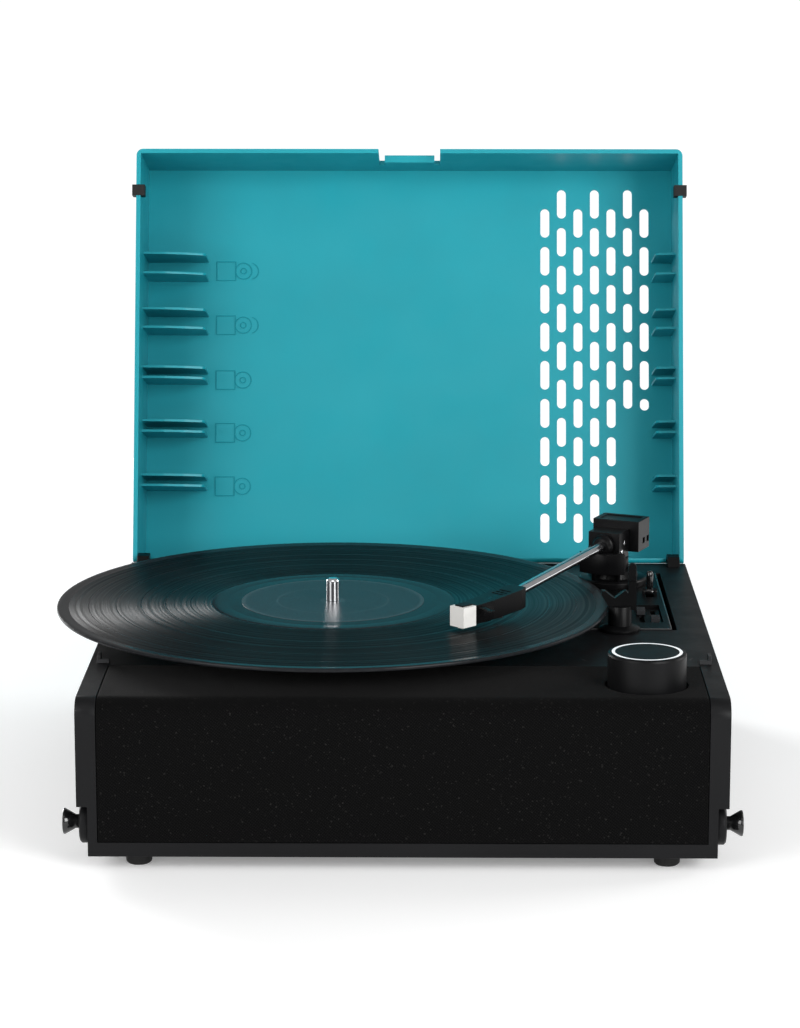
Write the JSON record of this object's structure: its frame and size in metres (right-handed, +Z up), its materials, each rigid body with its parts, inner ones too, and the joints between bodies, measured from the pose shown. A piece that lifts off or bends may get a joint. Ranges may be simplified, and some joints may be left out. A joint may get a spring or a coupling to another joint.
{
  "type": "suitcase record player",
  "caption": "Portable suitcase turntable with a hinged slotted lid, cloth-covered speaker bar, volume knob, and a turning platter and tonearm, shown open with a record.",
  "frame": {"origin": "under the middle of the whole object, lid open, on the surface it stands on", "axes": "+X to the user's right, +Y to the rear, +Z up"},
  "size_m": [0.364, 0.4403, 0.3302],
  "materials": {
    "cabinet_plastic": "fine-grained satin",
    "black_plastic": "matte",
    "chassis_plastic": "satin",
    "arm_plastic": "satin",
    "knob_plastic": "satin",
    "switch_plastic": "satin",
    "gloss_black": "gloss",
    "white_plastic": "satin",
    "lid_plastic": "fine-grained satin",
    "lid_plastic_dark": "fine-grained satin",
    "foot_rubber": "matte",
    "belt_rubber": "matte",
    "mat_rubber": "matte, ribbed",
    "cloth": "fine woven speaker cloth",
    "cone_paper": "matte",
    "vinyl": "grooved gloss",
    "label": "satin",
    "chrome": "polished",
    "tube_metal": "polished",
    "brass": "machined",
    "motor_steel": "zinc plated",
    "screw_steel": "blackened",
    "battery_wrap": "shrink wrap",
    "board": "solder mask",
    "light_ring": "lit ring"
  },
  "bodies": {
    "cabinet_body": {"cabinet": "cabinet_plastic", "bottom_cover": "black_plastic", "feet": "foot_rubber", "grille_frame": "black_plastic", "speaker_cloth": "cloth", "speaker_baskets": "motor_steel", "speaker_cones": "cone_paper", "chassis_plate": "chassis_plastic", "bearing_housing": "brass", "motor": "motor_steel", "drive_belt": "belt_rubber", "battery_pack": "battery_wrap", "main_board": "board", "volume_encoder": "motor_steel", "jack_panel": "black_plastic", "line_sockets": "brass", "small_sockets": "black_plastic", "power_inlet": "motor_steel", "tonearm_base": "arm_plastic", "arm_rest": "chassis_plastic", "switch_plate": "chassis_plastic", "strap_bosses": "cabinet_plastic", "strap_buttons": "gloss_black", "hinge_brackets": "chassis_plastic", "hinge_pins": "chrome", "deck_catches": "switch_plastic", "cabinet_screws": "screw_steel"},
    "lid_body": {"lid_shell": "lid_plastic", "lid_icons": "lid_plastic_dark", "lid_bumpers": "foot_rubber"},
    "platter_body": {"platter": "cabinet_plastic", "platter_mat": "mat_rubber", "spindle": "chrome", "record": "vinyl", "record_label": "label"},
    "pulley_body": {"motor_pulley": "brass"},
    "turret_body": {"tonearm_turret": "arm_plastic"},
    "arm_body": {"tonearm_pin": "chrome", "arm_holder": "arm_plastic", "counterweight_box": "arm_plastic", "tube_collar": "arm_plastic", "tonearm_tube": "tube_metal", "headshell": "arm_plastic", "cartridge": "black_plastic", "stylus_block": "white_plastic", "headshell_screw": "screw_steel"},
    "cue_lever_body": {"cue_lever": "gloss_black"},
    "cue_lift_body": {"cue_lift": "arm_plastic"},
    "clip_body": {"arm_clip": "chassis_plastic"},
    "knob_body": {"volume_knob": "knob_plastic", "knob_light": "light_ring"},
    "speed_body": {"speed_switch": "switch_plastic"},
    "stop_body": {"auto_stop_switch": "switch_plastic"}
  },
  "joints": [
    {"name": "lid_hinge", "type": "hinge", "parent": "cabinet_body", "child": "lid_body", "pos_m": [0.009, 0.097, 0.093], "axis": [1, 0, 0], "range_deg": [0, 93]},
    {"name": "platter_spin", "type": "hinge", "parent": "cabinet_body", "child": "platter_body", "pos_m": [-0.031, -0.056, 0.093], "axis": [0, 0, 1], "continuous": true},
    {"name": "pulley_spin", "type": "hinge", "parent": "cabinet_body", "child": "pulley_body", "pos_m": [-0.079, -0.008, 0.093], "axis": [0, 0, 1], "continuous": true},
    {"name": "tonearm_yaw", "type": "hinge", "parent": "cabinet_body", "child": "turret_body", "pos_m": [0.128, 0.043, 0.093], "axis": [0, 0, 1], "range_deg": [-12.5, 21.2]},
    {"name": "tonearm_pitch", "type": "hinge", "parent": "turret_body", "child": "arm_body", "pos_m": [0.12558, 0.03751, 0.116], "axis": [-0.915, 0.4035, 0], "range_deg": [0, 5]},
    {"name": "cue_lever_tilt", "type": "hinge", "parent": "cabinet_body", "child": "cue_lever_body", "pos_m": [0.1475, 0.013, 0.0924], "axis": [1, 0, 0], "range_deg": [0, 50]},
    {"name": "cue_lift_rise", "type": "slide", "parent": "cabinet_body", "child": "cue_lift_body", "axis": [0, 0, 1], "range_m": [0, 0.0014]},
    {"name": "arm_clip_swing", "type": "hinge", "parent": "cabinet_body", "child": "clip_body", "pos_m": [0.1325, -0.07, 0.115], "axis": [0, 1, 0], "range_deg": [-90, 0]},
    {"name": "volume_turn", "type": "hinge", "parent": "cabinet_body", "child": "knob_body", "pos_m": [0.1335, -0.1855, 0.1], "axis": [0, 0, -1], "range_deg": [0, 300]},
    {"name": "speed_slide", "type": "slide", "parent": "cabinet_body", "child": "speed_body", "axis": [0, 1, 0], "range_m": [-0.004, 0.004]},
    {"name": "auto_stop_slide", "type": "slide", "parent": "cabinet_body", "child": "stop_body", "axis": [0, 1, 0], "range_m": [0, 0.005]}
  ],
  "couplings": [
    {"joint": "pulley_spin", "follows": "platter_spin", "ratio": 7.9173},
    {"joint": "tonearm_pitch", "follows": "cue_lift_rise", "rad_per_m": 62.3},
    {"joint": "cue_lever_tilt", "follows": "cue_lift_rise", "rad_per_m": 623.3}
  ]
}
